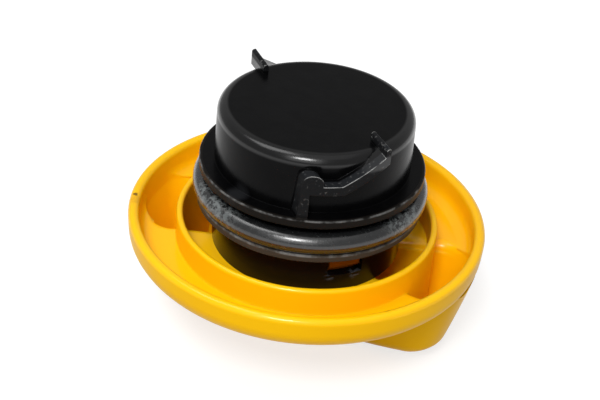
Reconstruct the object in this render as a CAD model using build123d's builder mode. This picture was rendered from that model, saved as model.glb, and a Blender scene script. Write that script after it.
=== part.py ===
"""Bayonet filler cap: a turning cover with a grip bar, a clipped-in plug and its sealing ring.

Millimetres. +Z runs along the cap's axis, out of the cover and into the filler neck.
Z = 0 is the middle of the pilot flange. The grip bar lies along X.
"""
from build123d import *
import math
import os

# Cover: rim, disc and skirt
rim_d = 80.0  # outer diameter at the lip
rim_draft = 3.0  # degrees
rim_t = 2.4  # wall of the rim
rim_h = 8.65  # from the lip to the outer face of the disc
rim_edge_r = 5.1  # round edge between the rim and the disc
disc_t = 2.0
lip_drop = 14.0  # from the pilot flange's face down to the lip
skirt_d = 55.6  # inside of the skirt
skirt_t = 1.5
skirt_drop = 0.45  # the skirt ends this far below the lip
dish_corner_r = 3.0  # inside corner between the rim and the disc
skirt_foot_r = 0.9  # inside corners between the skirt and the disc
edge_share = 0.45  # the lip's and the skirt's round edges take this share of their wall

# Cover: hollow grip bar
bar_h = 19.4  # from the disc's outer face to the middle of the ridge
bar_wall = 2.1
bar_flat = 20.0  # straight middle of the ridge, on which the cap stands
bar_arch_r = 69.0  # the ridge bends up towards both ends
bar_waist_root = 7.4  # half widths at the disc's inner face
bar_end_root = 14.3
bar_waist_mid = 7.2  # half widths at the middle section
bar_end_mid = 13.0
bar_waist_ridge = 7.0  # half widths at the ridge
bar_end_ridge = 8.8
bar_mid_drop = 6.0  # from the disc's inner face to the middle section
bar_lean_mid = 1.4
bar_lean_ridge = 6.0
bar_corner_r = 8.0  # upright corners at the root and the middle section
bar_corner_ridge_r = 6.0
bar_ridge_r = 3.5  # round edge of the ridge
valley_edge_r = 2.0  # round edge where the disc drops into the hollow bar
bar_trim = 1.0  # the lowest section lies this far under the ridge, and the arch trims it

# Plug: neck, flanges and dome
plug_wall = 2.0
neck_d = 42.4
pilot_d = 49.5  # flange on the filler neck's side
pilot_t = 2.1
retainer_step = 0.25  # the flange on the cover's side stands out this much further
retainer_t = 1.75
groove_w = 6.45
flange_edge_r = 0.3
dome_d = 43.0  # at its root on the pilot flange
dome_h = 13.0
dome_draft = 0.8  # degrees
dome_edge_r = 2.2
cavity_edge_r = 1.5

# Plug: bayonet lugs, shaped by a slide that pulls straight out along lug_angle
lug_angle = -47.5  # degrees from +X; the second lug lies opposite
lug_step = 0.1  # the lugs stand this far inside the flange's round edge
lug_gap = 5.95  # locked gap between the pilot flange and the rib
lug_t = 2.1  # thickness of the rib
ramp_angle = 30.0  # degrees
post_at = -12.5  # outer side of the stop post, across the pull
post_w = 2.1
post_lean = 0.9  # the post's outer side leans in by this much
post_h = 10.5
post_head_w = 4.6
post_round_share = 0.47  # the head's round corners take this share of its top
flat_end = -4.1  # where the ramp starts, across the pull
lug_end = 6.2
fin_t = 1.2  # fin that ends the ramp
fin_edge_share = 0.4  # the round top edges take this share of the fin
fin_h = 15.2
fin_fall = 0.2  # the fin's top falls this much towards the dome's middle
fin_reach = 8.2  # from the lug's outside in over the dome

# Snap windows of the plug and hooks of the cover, on the same pull
window_w = 8.0
window_h = 5.6
window_sill = 4.15  # above the disc's inner face
hook_w = 7.0
hook_t = 1.7
nose_out = 1.9  # reach of the hook's nose into the window
nose_catch = 1.4  # rise of the sloped catch
nose_tip = 1.7
nose_lead = 2.2  # rise of the sloped lead-in
hook_clear = 0.25  # between hook and plug

# Sealing ring
ring_section = 4.7
ring_clear = 0.05  # between ring and plug

# Levels along the axis
pilot_z = pilot_t / 2
lip_z = pilot_z - lip_drop
face_z = lip_z - rim_h
floor_z = face_z + disc_t
skirt_z = lip_z - skirt_drop
ridge_z = face_z - bar_h
groove_top_z = pilot_z - pilot_t
groove_low_z = groove_top_z - groove_w
retainer_low_z = groove_low_z - retainer_t
sill_z = floor_z + window_sill
dome_z = pilot_z + dome_h

# Radii, and how far each end of the ridge bends
rim_r = rim_d / 2
rim_slope = math.tan(math.radians(rim_draft))
disc_r = rim_r - rim_h * rim_slope
dish_r = rim_r - (lip_z - floor_z) * rim_slope - rim_t
skirt_r = skirt_d / 2
neck_r = neck_d / 2
bore_r = neck_r - plug_wall
pilot_r = pilot_d / 2
retainer_r = pilot_r + retainer_step
dome_r = dome_d / 2
arch_turn = math.degrees(math.asin((rim_r - bar_flat / 2) / bar_arch_r))
dome_top_r = dome_r - dome_h * math.tan(math.radians(dome_draft))
lug_r = pilot_r - flange_edge_r - lug_step

# Directions of the slide: out along the pull, and across it towards larger angles
pull = (math.cos(math.radians(lug_angle)), math.sin(math.radians(lug_angle)), 0)
across = (-pull[1], pull[0], 0)
across_back = (pull[1], -pull[0], 0)


def bar_section(level, waist, end, reach, corner_r):
    """Plan of the grip bar at one level: two waisted sides, and two ends round the cap's axis."""
    end_x = math.sqrt(reach**2 - end**2)
    with BuildSketch(Plane.XY.offset(level)) as plan:
        with BuildLine():
            ThreePointArc((-end_x, end), (0, waist), (end_x, end))
            ThreePointArc((end_x, end), (reach, 0), (end_x, -end))
            ThreePointArc((end_x, -end), (0, -waist), (-end_x, -end))
            ThreePointArc((-end_x, -end), (-reach, 0), (-end_x, end))
        make_face()
        fillet(plan.vertices(), radius=corner_r)
    return plan.sketch


def bar_body(inset):
    """The grip bar as a solid with every face moved in by inset: the outside, or the hollow."""
    root_reach = dish_r + bar_wall
    sections = [
        bar_section(floor_z, bar_waist_root - inset, bar_end_root - inset,
                    root_reach - inset, bar_corner_r - inset),
        bar_section(floor_z - bar_mid_drop, bar_waist_mid - inset, bar_end_mid - inset,
                    root_reach - bar_lean_mid - inset, bar_corner_r - inset),
        bar_section(ridge_z - bar_trim, bar_waist_ridge - inset, bar_end_ridge - inset,
                    root_reach - bar_lean_ridge - inset, bar_corner_ridge_r - inset),
    ]
    with BuildPart() as body:
        loft(sections)
        with BuildSketch(Plane.XZ):
            with BuildLine():
                straight = Line((-bar_flat / 2, ridge_z + inset), (bar_flat / 2, ridge_z + inset))
                bend = JernArc(straight @ 1, straight % 1, bar_arch_r - inset, arch_turn)
                back_bend = JernArc(straight @ 0, -(straight % 0), bar_arch_r - inset, -arch_turn)
                Polyline(bend @ 1, (rim_r, floor_z), (-rim_r, floor_z), back_bend @ 1)
            make_face()
        extrude(amount=rim_r, both=True, mode=Mode.INTERSECT)
        ridge = body.faces().sort_by(Axis.Z)[0]
        fillet(ridge.edges().filter_by(Axis.Y, reverse=True), radius=bar_ridge_r - inset)
    return body.part


# Dish of the cover: the space inside the rim, with the skirt standing in it
with BuildPart() as dish:
    with BuildSketch(Plane.XZ) as dish_profile:
        with BuildLine():
            Polyline(
                (0, floor_z),
                (skirt_r, floor_z),
                (skirt_r, skirt_z),
                (skirt_r + skirt_t, skirt_z),
                (skirt_r + skirt_t, floor_z),
                (dish_r, floor_z),
                (rim_r - rim_t, lip_z),
                (0, lip_z),
                close=True,
            )
        make_face()
        low_corners = dish_profile.vertices().filter_by_position(Axis.Y, floor_z, floor_z)
        fillet(low_corners.sort_by(Axis.X)[-1], radius=dish_corner_r)
        fillet(low_corners.sort_by(Axis.X)[1:3], radius=skirt_foot_r)
        skirt_corners = dish_profile.vertices().filter_by_position(Axis.Y, skirt_z, skirt_z)
        fillet(skirt_corners, radius=edge_share * skirt_t)
    revolve(axis=Axis.Z)


def valley_section(level, spread, reach):
    """Plan of the bar's hollow near the disc, with its sides moved out by spread."""
    return bar_section(level, bar_waist_root - bar_wall + spread, bar_end_root - bar_wall + spread,
                       reach, bar_corner_r - bar_wall)


# Valley of the cover: the hollow bar, opened into the dish with a round edge, less the skirt's wall
bar_hollow = bar_body(bar_wall)
valley_mouth = valley_section(floor_z, 0, dish_r)
edge_reach = dish_r - valley_edge_r / 2  # keeps the round edge off the pockets' end walls
edge_sections = []
for turn in (0, 45, 90):
    drop = valley_edge_r * (1 - math.sin(math.radians(turn)))
    spread = valley_edge_r * (1 - math.cos(math.radians(turn)))
    edge_sections.append(valley_section(floor_z - drop, spread, edge_reach))
with BuildPart() as valley:
    add(bar_hollow)
    extrude(valley_mouth, amount=dish_corner_r, taper=-rim_draft)
    loft(edge_sections)
    with BuildSketch(Plane.XY.offset(skirt_z)) as skirt_ring:
        Circle(skirt_r + skirt_t)
        Circle(skirt_r, mode=Mode.SUBTRACT)
    extrude(amount=ridge_z - skirt_z, mode=Mode.SUBTRACT)

# One snap hook of the cover: a tongue inside the plug's neck, with a nose that points outwards
hook_face = math.sqrt((bore_r - hook_clear) ** 2 - (hook_w / 2) ** 2)
catch_z = sill_z + hook_clear
tip_z = catch_z + nose_catch
hook_top_z = tip_z + nose_tip + nose_lead
with BuildPart() as hook:
    with BuildSketch(Plane(origin=(0, 0, 0), x_dir=pull, z_dir=across_back)) as hook_profile:
        with BuildLine():
            Polyline(
                (hook_face - hook_t, floor_z - disc_t / 2),
                (hook_face, floor_z - disc_t / 2),
                (hook_face, catch_z),
                (hook_face + nose_out, tip_z),
                (hook_face + nose_out, tip_z + nose_tip),
                (hook_face, hook_top_z),
                (hook_face - hook_t, hook_top_z),
                close=True,
            )
        make_face()
    extrude(amount=hook_w / 2, both=True)

bar_outside = bar_body(0)
with BuildPart() as cover:
    with BuildSketch(Plane.XZ) as disc_profile:
        with BuildLine():
            Polyline((0, face_z), (disc_r, face_z), (rim_r, lip_z), (0, lip_z), close=True)
        make_face()
        fillet(disc_profile.vertices().sort_by_distance((disc_r, face_z))[0], radius=rim_edge_r)
    revolve(axis=Axis.Z)
    add(bar_outside)
    add(dish.part, mode=Mode.SUBTRACT)
    add(valley.part, mode=Mode.SUBTRACT)
    lip_edges = cover.edges().filter_by_position(Axis.Z, lip_z, lip_z)
    fillet(lip_edges, radius=edge_share * rim_t)
    with PolarLocations(0, 2):
        add(hook.part)

# One bayonet lug: stop post, locked rib, ramp, and the fin that ends the ramp
gap_z = pilot_z + lug_gap
rib_z = gap_z + lug_t
post_z = pilot_z + post_h
fin_z = pilot_z + fin_h
ramp_rise = math.tan(math.radians(ramp_angle))
ramp_shift = lug_t * math.tan(math.radians(ramp_angle / 2))
ramp_top_z = rib_z + (lug_end - flat_end) * ramp_rise
ramp_low_z = gap_z + (lug_end - flat_end - ramp_shift) * ramp_rise
lug_plane = Plane(origin=(0, 0, 0), x_dir=across, z_dir=pull)
with BuildPart() as lug:
    with BuildSketch(lug_plane) as lug_side:
        with BuildLine():
            Polyline(
                (post_at, pilot_z),
                (post_at + post_lean, post_z),
                (post_at + post_head_w, post_z),
                (post_at + post_head_w, rib_z),
                (flat_end, rib_z),
                (lug_end, ramp_top_z),
                (lug_end, ramp_low_z),
                (flat_end + ramp_shift, gap_z),
                (post_at + post_w, gap_z),
                (post_at + post_w, pilot_z),
                close=True,
            )
        make_face()
        head_corners = lug_side.vertices().filter_by_position(Axis.Y, post_z, post_z)
        fillet(head_corners, radius=post_round_share * (post_head_w - post_lean))
    extrude(amount=pilot_d)
    Cylinder(dome_r - plug_wall / 2, pilot_d, mode=Mode.SUBTRACT)
    fin_origin = (lug_end * across[0], lug_end * across[1], 0)
    with BuildSketch(Plane(origin=fin_origin, x_dir=pull, z_dir=across_back)) as fin_side:
        with BuildLine():
            Polyline(
                (lug_r - fin_reach, dome_z - plug_wall / 2),
                (pilot_r, dome_z - plug_wall / 2),
                (pilot_r, fin_z),
                (lug_r - fin_reach, fin_z - fin_fall),
                close=True,
            )
        make_face()
    extrude(amount=fin_t)
    fin_top = lug.faces().sort_by(Axis.Z)[-1]
    fillet(fin_top.edges().sort_by(SortBy.LENGTH)[-2:], radius=fin_edge_share * fin_t)
    Cylinder(lug_r, 2 * (ramp_top_z + fin_h), mode=Mode.INTERSECT)

with BuildPart() as plug:
    with BuildSketch(Plane.XZ) as plug_profile:
        with BuildLine():
            Polyline(
                (0, dome_z),
                (dome_top_r, dome_z),
                (dome_r, pilot_z),
                (pilot_r, pilot_z),
                (pilot_r, groove_top_z),
                (neck_r, groove_top_z),
                (neck_r, groove_low_z),
                (retainer_r, groove_low_z),
                (retainer_r, retainer_low_z),
                (neck_r, retainer_low_z),
                (neck_r, floor_z),
                (0, floor_z),
                close=True,
            )
        make_face()
        fillet(plug_profile.vertices().sort_by_distance((dome_top_r, dome_z))[0], radius=dome_edge_r)
        flange_corners = [v for v in plug_profile.vertices() if v.X >= pilot_r]
        fillet(flange_corners, radius=flange_edge_r)
    revolve(axis=Axis.Z)
    with PolarLocations(0, 2):
        add(lug.part)
    with BuildSketch(Plane.XZ) as cavity_profile:
        with Locations((0, floor_z)):
            Rectangle(bore_r, dome_z - plug_wall - floor_z, align=(Align.MIN, Align.MIN))
        fillet(cavity_profile.vertices().sort_by_distance((bore_r, dome_z))[0], radius=cavity_edge_r)
    revolve(axis=Axis.Z, mode=Mode.SUBTRACT)
    with BuildSketch(lug_plane) as window_side:
        with Locations((0, sill_z)):
            Rectangle(window_w, window_h, align=(Align.CENTER, Align.MIN))
    extrude(amount=pilot_r, both=True, mode=Mode.SUBTRACT)

ring_r = ring_section / 2
with BuildPart() as o_ring:
    with BuildSketch(Plane.XZ) as ring_profile:
        with Locations((neck_r + ring_clear + ring_r, groove_low_z + ring_clear + ring_r)):
            Circle(ring_r)
    revolve(axis=Axis.Z)

os.makedirs("parts", exist_ok=True)
cover.part.label = "cover"
plug.part.label = "plug"
o_ring.part.label = "o_ring"
export_step(cover.part, "parts/cover.step")
export_step(plug.part, "parts/plug.step")
export_step(o_ring.part, "parts/o_ring.step")
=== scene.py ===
"""Bayonet filler cap, dressed: glossy yellow cover, black domed plug and rubber sealing ring.

Metres, in the frame of the solids: +Z along the cap's axis out of the cover, +X along the grip bar.
The cap stands on the ridge of its grip bar, on a plain pale floor.
"""
import math

import bpy
from mathutils import Matrix, Vector


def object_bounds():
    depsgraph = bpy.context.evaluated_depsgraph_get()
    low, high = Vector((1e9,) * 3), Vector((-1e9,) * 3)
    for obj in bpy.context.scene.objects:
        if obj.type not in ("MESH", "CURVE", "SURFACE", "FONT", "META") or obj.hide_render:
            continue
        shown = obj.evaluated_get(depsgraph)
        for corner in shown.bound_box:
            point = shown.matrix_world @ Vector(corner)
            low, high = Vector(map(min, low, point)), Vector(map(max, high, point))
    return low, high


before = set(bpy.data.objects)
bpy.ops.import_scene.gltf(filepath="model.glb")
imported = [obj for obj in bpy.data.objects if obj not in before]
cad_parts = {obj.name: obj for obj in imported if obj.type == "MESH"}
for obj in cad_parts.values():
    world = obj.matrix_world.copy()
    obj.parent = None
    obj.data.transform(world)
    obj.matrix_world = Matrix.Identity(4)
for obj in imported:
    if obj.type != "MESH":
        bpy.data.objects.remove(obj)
solid_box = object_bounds()

MM = 0.001

# Camera: where it stands, where it looks and how far it is rolled
camera_at = Vector((75.0, -246.8, 161.0)) * MM
camera_heading = 107.33  # degrees from +X
camera_pitch = -33.61  # degrees from level
camera_roll = 5.19  # degrees
camera_near = 10.0 * MM  # nothing nearer than this is drawn
image_width_px = 600
focal_px = 1389.7
sensor_width = 36.0  # in millimetres

# Floor: its size, its colour, and the glow that only the camera and reflections see
floor_size = 4.0
floor_gap = 0.02 * MM  # under the ridge of the grip bar
floor_grey = 0.42
floor_glow = 0.70

# Even light from all round
room_level = 0.42

# Levels and radii of the cap that the finishes follow
lip_z = -12.95 * MM
skirt_r = 27.8 * MM
hook_r = 21.5 * MM
hook_foot_z = -18.0 * MM
flange_r = 24.75 * MM
flange_top_z = 1.05 * MM
retainer_top_z = -7.5 * MM  # the flange on the cover's side
retainer_low_z = -9.25 * MM
neck_r = 21.2 * MM
ring_skin_r = 25.2 * MM
dome_r = 21.5 * MM
dome_top_z = 14.05 * MM
dome_edge_r = 18.8 * MM  # where the dome's round edge starts
dome_edge_drop = 2.6 * MM

# Colours of the cover, as linear red, green, blue and alpha
deep_yellow = (0.95, 0.500, 0.0012, 1)
light_yellow = (0.98, 0.540, 0.0020, 1)
flow_yellow = (1.0, 0.57, 0.006, 1)
# Painted shade: deep orange on the inner walls of the skirt
skirt_shade_orange = (1.0, 0.33, 0.0012, 1)
# Painted shade: dark orange on the hooks, seen deep in the neck's windows
hook_shade_orange = (0.20, 0.030, 0.002, 1)
smear_brown = (0.42, 0.19, 0.02, 1)
nick_brown = (0.08, 0.035, 0.006, 1)

# Colours of the plug
deep_black = (0.0014, 0.0014, 0.0016, 1)
light_black = (0.0024, 0.0024, 0.0026, 1)
lug_grey = (0.018, 0.019, 0.021, 1)
# Painted sheen: lighter bluish grey on the lug faces that look up
lug_sheen_grey = (0.022, 0.025, 0.029, 1)
flange_brown = (0.012, 0.010, 0.008, 1)
# Painted light: lighter brown on the lower flange, for the light on its edge
lit_retainer_brown = (0.060, 0.048, 0.036, 1)
# Pale grey of worn lug edges and specks, and of painted highlights along the flange edges
rubbed_and_highlight_grey = (0.40, 0.40, 0.39, 1)
# Pale grey of the sill's scratches with their painted glints, and of the flange smudge
scratch_and_glint_grey = (0.20, 0.21, 0.23, 1)
dust_grey = (0.50, 0.50, 0.48, 1)

# Colours of the sealing ring
deep_rubber = (0.006, 0.0065, 0.0068, 1)
light_rubber = (0.012, 0.0125, 0.013, 1)
# Grey of dried rubber with a painted reflection, on two sides of the ring
dry_and_sheen_grey = (0.21, 0.232, 0.232, 1)

# Colours of the stage
no_glow = (0, 0, 0, 1)
white = (1.0, 1.0, 1.0, 1)

# Places of a Mix node's sockets where it mixes colours
mix_factor = 0
mix_first = 6
mix_second = 7
mix_result = 2

edge_samples = 8  # of a rounded normal
patch_core = 0.35  # a patch is full out to this share of its reach
onto_floor_plan = (1.0, 1.0, 0.0)  # flattens a point along the cap's axis


def direction(azimuth, elevation):
    """Unit vector at an azimuth from +X and an elevation, both in degrees."""
    turn = math.radians(azimuth)
    rise = math.radians(elevation)
    return Vector((math.cos(turn) * math.cos(rise), math.sin(turn) * math.cos(rise), math.sin(rise)))


def spot(azimuth, radius, level):
    """The point at an azimuth round the cap's axis, a radius from it and a level along it."""
    return direction(azimuth, 0) * radius + Vector((0, 0, level))


# Marks of use and painted light: nick and smear on the lip, smudge on the flange, scratches with painted
# glints at the sill's ends, the ring's greyish patches with a painted reflection
nick_at = spot(-163.0, 38.75 * MM, lip_z)
smear_at = spot(-160.0, 38.30 * MM, lip_z)
smudge_at = spot(-114.0, 23.0 * MM, flange_top_z)
sill_left_at = spot(-57.0, neck_r, -15.4 * MM)
sill_right_at = spot(-41.0, neck_r, -15.6 * MM)
grey_patch_left_at = spot(-128.0, ring_skin_r, -3.6 * MM)
grey_patch_right_at = spot(-17.0, ring_skin_r, -2.6 * MM)


class Wire:
    """An output of a finish's node tree. Arithmetic on it adds Math nodes."""

    def __init__(self, finish, socket):
        self.finish = finish
        self.socket = socket

    def __add__(self, other):
        return self.finish.math("ADD", self, other)

    def __radd__(self, other):
        return self.finish.math("ADD", other, self)

    def __sub__(self, other):
        return self.finish.math("SUBTRACT", self, other)

    def __rsub__(self, other):
        return self.finish.math("SUBTRACT", other, self)

    def __mul__(self, other):
        return self.finish.math("MULTIPLY", self, other)

    def __rmul__(self, other):
        return self.finish.math("MULTIPLY", other, self)


class Finish:
    """One material and its node tree."""

    def __init__(self, name):
        self.material = bpy.data.materials.new(name)
        self.material.use_nodes = True
        self.tree = self.material.node_tree
        self.tree.nodes.clear()

    def node(self, kind, settings=None, sockets=None, out=0):
        """Adds a node: its settings, then the values or links of its sockets. Returns one output."""
        made = self.tree.nodes.new(kind)
        for key, value in (settings or {}).items():
            setattr(made, key, value)
        for key, value in (sockets or {}).items():
            if isinstance(value, Wire):
                self.tree.links.new(value.socket, made.inputs[key])
            else:
                made.inputs[key].default_value = value
        return Wire(self, made.outputs[out]) if len(made.outputs) else None

    def math(self, operation, first, second, clamp=False):
        """Works on two numbers."""
        settings = {"operation": operation, "use_clamp": clamp}
        return self.node("ShaderNodeMath", settings, {0: first, 1: second})

    def clamp(self, value):
        """The value kept between 0 and 1."""
        return self.math("ADD", value, 0.0, clamp=True)

    def step(self, value, low, high):
        """A smooth step: 0 below low, 1 above high, and the other way round if low is above high."""
        sockets = {"Value": value, "From Min": low, "From Max": high, "To Min": 0.0, "To Max": 1.0}
        if low > high:
            sockets = {"Value": value, "From Min": high, "From Max": low, "To Min": 1.0, "To Max": 0.0}
        return self.node("ShaderNodeMapRange", {"interpolation_type": "SMOOTHSTEP"}, sockets)

    def beyond(self, value, limit, soft):
        """0 up to a limit, rising to 1 over a soft width past it."""
        return self.step(value, limit, limit + soft)

    def within(self, value, limit, soft):
        """1 up to a limit, falling to 0 over a soft width past it."""
        return self.step(value, limit + soft, limit)

    def place(self):
        """The point on the surface, in the frame of the solids."""
        return self.node("ShaderNodeTexCoord", out="Object")

    def normal(self):
        """The direction that the surface faces."""
        return self.node("ShaderNodeNewGeometry", out="Normal")

    def rounded_normal(self, width):
        """The direction that the surface would face with its edges rounded over a width."""
        return self.node("ShaderNodeBevel", {"samples": edge_samples}, {"Radius": width})

    def height(self, vector):
        """The level of a point along the cap's axis, or how far a direction looks up."""
        return self.node("ShaderNodeSeparateXYZ", None, {0: vector}, out="Z")

    def stretched(self, vector, scale):
        """The vector with each of its parts multiplied by its own number."""
        return self.node("ShaderNodeVectorMath", {"operation": "MULTIPLY"}, {0: vector, 1: scale})

    def distance(self, place, point):
        """How far a place is from a fixed point."""
        sockets = {0: place, 1: point}
        return self.node("ShaderNodeVectorMath", {"operation": "DISTANCE"}, sockets, out="Value")

    def along(self, first, second):
        """How far one vector runs along another, their dot product."""
        sockets = {0: first, 1: second}
        return self.node("ShaderNodeVectorMath", {"operation": "DOT_PRODUCT"}, sockets, out="Value")

    def radius(self, place):
        """How far a point is from the cap's axis."""
        flat = self.stretched(place, onto_floor_plan)
        return self.node("ShaderNodeVectorMath", {"operation": "LENGTH"}, {0: flat}, out="Value")

    def facing_axis(self, place):
        """1 on walls that face the cap's axis, 0 on floors and on walls that face away from it."""
        outwards = self.along(self.normal(), self.stretched(place, onto_floor_plan))
        return self.within(outwards, -4.0 * MM, 3.0 * MM)

    def noise(self, vector, scale, detail=4.0, roughness=0.55, distortion=0.0):
        """A cloudy pattern about 0.5, with so many cells to the metre."""
        sockets = {"Vector": vector, "Scale": scale, "Detail": detail,
                   "Roughness": roughness, "Distortion": distortion}
        return self.node("ShaderNodeTexNoise", None, sockets)

    def patch(self, place, middle, reach, ragged, grain):
        """1 near a point and 0 beyond its reach, with an edge made ragged by the grain."""
        away = self.distance(place, middle) + (grain - 0.5) * ragged
        return self.step(away, reach, patch_core * reach)

    def specks(self, place, scale, size, share):
        """Small round specks in the cells of a pattern, on only a share of them."""
        cells = {"Vector": place, "Scale": scale}
        near = self.node("ShaderNodeTexVoronoi", {"feature": "F1"}, cells, out="Distance")
        chance = self.noise(place, scale=0.45 * scale, detail=1.0)
        return self.step(near, size, 0.55 * size) * self.beyond(chance, 1.0 - share, 0.03)

    def upper_edges(self, width):
        """1 on sharp edges that look up, from how far the rounded normal leaves the true one."""
        rounded = self.rounded_normal(width)
        sharp = self.step(self.along(rounded, self.normal()), 0.995, 0.80)
        return sharp * self.step(self.height(rounded), 0.15, 0.50)

    def blend(self, factor, first, second):
        """Mixes two colours."""
        sockets = {mix_factor: factor, mix_first: first, mix_second: second}
        return self.node("ShaderNodeMix", {"data_type": "RGBA"}, sockets, out=mix_result)

    def layered(self, colour, layers):
        """Lays tints over a colour one after another, each with its own cover."""
        for cover, tint in layers:
            colour = self.blend(cover, colour, tint)
        return colour

    def bump(self, relief, strength, distance, over=None):
        """The normal made uneven by a relief, over another normal if one is given."""
        sockets = {"Strength": strength, "Distance": distance, "Height": relief}
        if over is not None:
            sockets["Normal"] = over
        return self.node("ShaderNodeBump", None, sockets)

    def principled(self, sockets):
        """The finished material, from the sockets of its Principled shader."""
        return self.surface(self.node("ShaderNodeBsdfPrincipled", None, sockets))

    def surface(self, shader):
        """The finished material, from its shader."""
        self.node("ShaderNodeOutputMaterial", None, {"Surface": shader})
        return self.material


def cover_colour(paint, place, flow, smear, nick):
    """Slightly cloudy yellow with flow marks, and painted shade: deep orange inside the skirt, dark orange on
    the hooks.
    """
    out = paint.radius(place)
    level = paint.height(place)
    cloud = paint.noise(place, scale=18.0, detail=2.0)
    # Painted shade: the skirt's inner walls, which face the axis, are tinted deep orange
    skirt_shade_mask = paint.within(out, skirt_r + 0.1 * MM, 0.3 * MM) * paint.facing_axis(place)
    # Painted shade: the hooks are tinted dark orange
    hook_shade_mask = paint.within(out, hook_r, 0.5 * MM) * paint.beyond(level, hook_foot_z, 0.5 * MM)
    colour = paint.blend(paint.step(cloud, 0.35, 0.65), deep_yellow, light_yellow)
    return paint.layered(colour, [
        (paint.step(flow, 0.55, 0.80) * 0.20, flow_yellow),
        (skirt_shade_mask * 0.7, skirt_shade_orange),
        (hook_shade_mask * 0.94, hook_shade_orange),
        (smear * 0.30, smear_brown),
        (nick * 0.85, nick_brown),
    ])


def yellow_plastic():
    """Glossy yellow moulding: flow marks, a fine skin, light scuffs, a smear and a dark nick on the lip."""
    paint = Finish("yellow_plastic")
    place = paint.place()
    drawn_out = paint.stretched(place, (1.0, 1.0, 0.35))
    flow = paint.noise(drawn_out, scale=55.0, detail=5.0, roughness=0.6, distortion=0.6)
    skin = paint.noise(place, scale=900.0, detail=2.0)
    grain = paint.noise(place, scale=1400.0)
    smear = paint.patch(place, smear_at, reach=2.4 * MM, ragged=3.0 * MM, grain=grain)
    nick = paint.patch(place, nick_at, reach=0.80 * MM, ragged=0.9 * MM, grain=grain)
    streaks = paint.noise(paint.stretched(place, (1.0, 1.0, 6.0)), scale=240.0, detail=4.0, roughness=0.7)
    scuff = paint.step(streaks, 0.60, 0.75)
    rough = 0.32 + 0.08 * paint.step(flow, 0.3, 0.8) + 0.10 * scuff + 0.25 * nick
    relief = 0.6 * skin + 0.4 * flow - nick
    facing_up = paint.step(paint.height(paint.normal()), 0.05, 0.45)
    return paint.principled({
        "Base Color": cover_colour(paint, place, flow, smear, nick),
        "Roughness": rough,
        "Specular IOR Level": 0.06,
        "Coat Weight": facing_up * 0.5,
        "Coat Roughness": 0.15,
        "Normal": paint.bump(relief, strength=0.06, distance=0.4 * MM, over=paint.rounded_normal(0.90 * MM)),
    })


class PlugZones:
    """Where a point lies on the plug: lugs and their fins, flange edges, the dome's round edge, the neck."""

    def __init__(self, paint, place):
        out = paint.radius(place)
        level = paint.height(place)
        on_edge = paint.beyond(out, flange_r - 0.35 * MM, 0.25 * MM)
        upper_edge = paint.beyond(level, flange_top_z - 0.50 * MM, 0.25 * MM)
        under_groove = paint.within(level, retainer_top_z + 0.5 * MM, 1.0 * MM)
        lower_edge = paint.beyond(level, retainer_top_z - 0.6 * MM, 0.3 * MM) * under_groove
        round_edge = paint.beyond(level, dome_top_z - dome_edge_drop, 0.8 * MM)
        self.fins = paint.beyond(level, dome_top_z + 0.25 * MM, 0.6 * MM)
        self.lugs = (paint.beyond(out, dome_r + 0.5 * MM, 0.4 * MM)
                     * paint.beyond(level, flange_top_z + 0.55 * MM, 0.8 * MM))
        # Painted sheen on the lug faces that look up
        self.sheen_on_lug_tops = self.lugs * paint.step(paint.height(paint.normal()), 0.4, 0.7)
        self.worn = paint.clamp(self.lugs + self.fins)
        self.flanges = (paint.beyond(out, flange_r - 0.9 * MM, 0.4 * MM)
                        * paint.within(level, flange_top_z + 0.15 * MM, 0.4 * MM))
        self.retainer = self.flanges * paint.within(level, retainer_top_z + 0.5 * MM, 2.0 * MM)
        # Painted highlights: thin lines along the flanges' outer edges
        self.flange_highlight_lines = on_edge * paint.clamp(upper_edge + lower_edge)
        self.dome_edge = round_edge * paint.beyond(out, dome_edge_r, 0.7 * MM) * (1 - self.fins)
        self.neck = paint.within(level, retainer_low_z - 0.35 * MM, 0.6 * MM)


def rubbed_and_highlit_edges(paint, zones, grain):
    """Broken pale lines of wear on the upper edges of the lugs, and fainter painted highlights along the
    flanges.
    """
    on_lugs = paint.upper_edges(0.45 * MM) * paint.step(grain, 0.32, 0.50) * zones.worn
    # Painted highlights along the flange edges
    flange_highlights = zones.flange_highlight_lines * paint.step(grain, 0.40, 0.64) * 0.40
    return paint.clamp(on_lugs + flange_highlights)


def sill_scratches_and_glints(paint, place, fine):
    """Level scratches at both ends of the window's sill, with painted glints."""
    left = paint.patch(place, sill_left_at, reach=1.7 * MM, ragged=1.6 * MM, grain=fine)
    right = paint.patch(place, sill_right_at, reach=1.9 * MM, ragged=1.6 * MM, grain=fine)
    level_lines = paint.noise(paint.stretched(place, (1.0, 1.0, 6.0)), scale=300.0, detail=3.0, roughness=0.6)
    return paint.clamp(left + right) * paint.step(level_lines, 0.46, 0.62)


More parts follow.
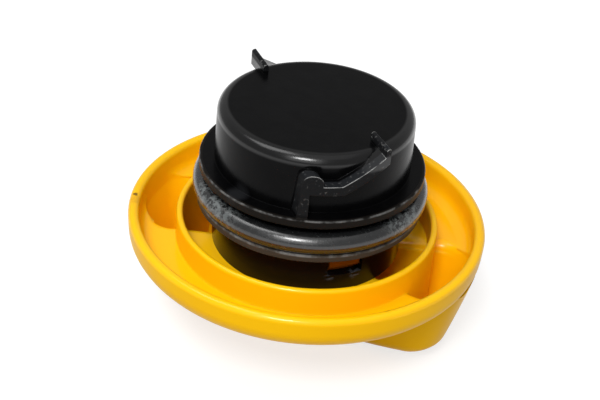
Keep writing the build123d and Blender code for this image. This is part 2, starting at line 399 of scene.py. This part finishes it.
def black_plastic():
    """Black moulding: smooth sheen, worn lugs, scratches on the window sill with painted glints, a little
    dust; painted sheen on lug tops, painted light on the flanges.
    """
    paint = Finish("black_plastic")
    place = paint.place()
    zones = PlugZones(paint, place)
    grain = paint.noise(place, scale=260.0, detail=5.0, roughness=0.65)
    fine = paint.noise(place, scale=1100.0, detail=3.0, roughness=0.7)
    wear_and_highlight = rubbed_and_highlit_edges(paint, zones, grain)
    speckled = paint.clamp(zones.worn * 0.22 + zones.fins * 0.20) * paint.step(fine, 0.58, 0.74)
    scratched_and_glinting = sill_scratches_and_glints(paint, place, fine)
    smudge = paint.patch(place, smudge_at, reach=3.0 * MM, ragged=2.0 * MM, grain=grain)
    dust = paint.specks(place, scale=210.0, size=0.05, share=0.37)
    colour = paint.blend(paint.step(grain, 0.3, 0.7), deep_black, light_black)
    colour = paint.layered(colour, [
        (zones.worn * 0.35, lug_grey),
        (zones.sheen_on_lug_tops * 0.25, lug_sheen_grey),
        (zones.flanges * 0.5, flange_brown),
        # Painted light: the lower flange is lighter brown
        (zones.retainer * 0.8, lit_retainer_brown),
        (paint.clamp(wear_and_highlight * 0.85 + speckled), rubbed_and_highlight_grey),
        # Scratches with painted glints at the sill's ends, and a faint smudge
        (paint.clamp(scratched_and_glinting * 0.28 + smudge * 0.05), scratch_and_glint_grey),
        (dust * 0.7, dust_grey),
    ])
    rough = 0.20 + 0.08 * grain + 0.25 * wear_and_highlight + 0.15 * zones.worn + 0.10 * zones.flanges
    relief = grain + 1.5 * scratched_and_glinting
    return paint.principled({
        "Base Color": colour,
        "Roughness": paint.clamp(rough),
        "Specular IOR Level": 0.06,
        "Coat Weight": zones.dome_edge * 0.80 + 0.6 * zones.neck,
        "Coat Roughness": 0.20,
        "Normal": paint.bump(relief, strength=0.10, distance=0.3 * MM, over=paint.rounded_normal(0.20 * MM)),
    })


def seal_rubber():
    """Satin black rubber with greyish patches on two sides of the ring: dried rubber with a painted
    reflection.
    """
    paint = Finish("seal_rubber")
    place = paint.place()
    mottle = paint.noise(place, scale=750.0, detail=6.0, roughness=0.75)
    fine = paint.noise(place, scale=1500.0, detail=3.0, roughness=0.6)
    left = paint.patch(place, grey_patch_left_at, reach=11.0 * MM, ragged=4.0 * MM, grain=mottle)
    right = paint.patch(place, grey_patch_right_at, reach=8.0 * MM, ragged=4.0 * MM, grain=mottle)
    bloom = 0.12 * paint.step(fine, 0.6, 0.75)
    # Greyish patches: dried rubber with a painted reflection, plus a faint bloom
    dry_and_sheen = paint.clamp((left + right) * paint.step(mottle, 0.44, 0.58) + bloom)
    colour = paint.blend(paint.step(mottle, 0.3, 0.7), deep_rubber, light_rubber)
    relief = 0.7 * mottle + 0.3 * fine
    return paint.principled({
        "Base Color": paint.blend(dry_and_sheen * 0.55, colour, dry_and_sheen_grey),
        "Roughness": 0.20 + 0.12 * mottle + 0.20 * dry_and_sheen,
        "Specular IOR Level": 0.60,
        "Coat Weight": 0.6,
        "Coat Roughness": 0.20,
        "Normal": paint.bump(relief, strength=0.16, distance=0.4 * MM),
    })


def pale_floor_finish():
    """Matt pale floor that the camera and reflections see as white, and that keeps the shadow."""
    paint = Finish("pale_floor")
    rays = ("Is Camera Ray", "Is Glossy Ray", "Is Transmission Ray")
    seen = paint.clamp(sum(paint.node("ShaderNodeLightPath", out=ray) for ray in rays))
    glow = paint.blend(seen, no_glow, (floor_glow, floor_glow, floor_glow, 1))
    diffuse = paint.node("ShaderNodeBsdfDiffuse", None, {"Color": (floor_grey, floor_grey, floor_grey, 1)})
    lift = paint.node("ShaderNodeEmission", None, {"Color": glow})
    return paint.surface(paint.node("ShaderNodeAddShader", None, {0: diffuse, 1: lift}))


def pale_floor():
    """A wide square floor under the ridge of the grip bar."""
    half = floor_size / 2
    level = solid_box[0][2] - floor_gap
    corners = [(-half, -half, level), (half, -half, level), (half, half, level), (-half, half, level)]
    mesh = bpy.data.meshes.new("floor")
    mesh.from_pydata(corners, [], [(0, 1, 2, 3)])
    floor = bpy.data.objects.new("floor", mesh)
    bpy.context.scene.collection.objects.link(floor)
    mesh.materials.append(pale_floor_finish())


def softbox(name, azimuth, elevation, distance, size, level):
    """A flat lamp aimed at the cap. At level 1 it alone would show a white card facing it as white."""
    data = bpy.data.lights.new(name, "AREA")
    data.shape = "RECTANGLE"
    data.size, data.size_y = size
    data.energy = level * (math.pi * distance) ** 2
    lamp = bpy.data.objects.new(name, data)
    towards = direction(azimuth, elevation)
    lamp.location = towards * distance
    lamp.rotation_euler = towards.to_track_quat("Z", "Y").to_euler()
    bpy.context.scene.collection.objects.link(lamp)


def room():
    """Even white light from all round."""
    world = bpy.data.worlds.new("room")
    bpy.context.scene.world = world
    world.use_nodes = True
    back = world.node_tree.nodes["Background"]
    back.inputs["Color"].default_value = white
    back.inputs["Strength"].default_value = room_level


def studio():
    """A key and a fill near the camera, soft boxes on the left and overhead, and an even room."""
    softbox("key", azimuth=-84.0, elevation=48.0, distance=0.60, size=(0.14, 0.16), level=0.60)
    softbox("fill", azimuth=-82.0, elevation=28.0, distance=0.80, size=(0.50, 0.40), level=0.13)
    softbox("upper_left", azimuth=195.0, elevation=66.0, distance=0.80, size=(0.40, 0.40), level=0.28)
    softbox("top", azimuth=-60.0, elevation=84.0, distance=0.80, size=(0.70, 0.70), level=0.08)
    room()


def camera():
    """The photograph's view: place, heading, pitch, roll and focal length."""
    data = bpy.data.cameras.new("camera")
    data.sensor_fit = "HORIZONTAL"
    data.sensor_width = sensor_width
    data.lens = focal_px * sensor_width / image_width_px
    data.clip_start = camera_near
    ahead = direction(camera_heading, camera_pitch)
    level_right = ahead.cross(Vector((0, 0, 1))).normalized()
    level_up = level_right.cross(ahead)
    roll = math.radians(camera_roll)
    right = level_right * math.cos(roll) + level_up * math.sin(roll)
    up = level_up * math.cos(roll) - level_right * math.sin(roll)
    turn = Matrix((right, up, -ahead)).transposed()
    eye = bpy.data.objects.new("camera", data)
    eye.matrix_world = Matrix.Translation(camera_at) @ turn.to_4x4()
    bpy.context.scene.collection.objects.link(eye)
    bpy.context.scene.camera = eye


def finish_node(name, material):
    """Gives a solid its finish."""
    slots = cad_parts[name].data.materials
    slots.clear()
    slots.append(material)


finish_node("cover", yellow_plastic())
finish_node("plug", black_plastic())
finish_node("o_ring", seal_rubber())
pale_floor()
studio()
camera()
bpy.context.scene.view_settings.view_transform = "Standard"
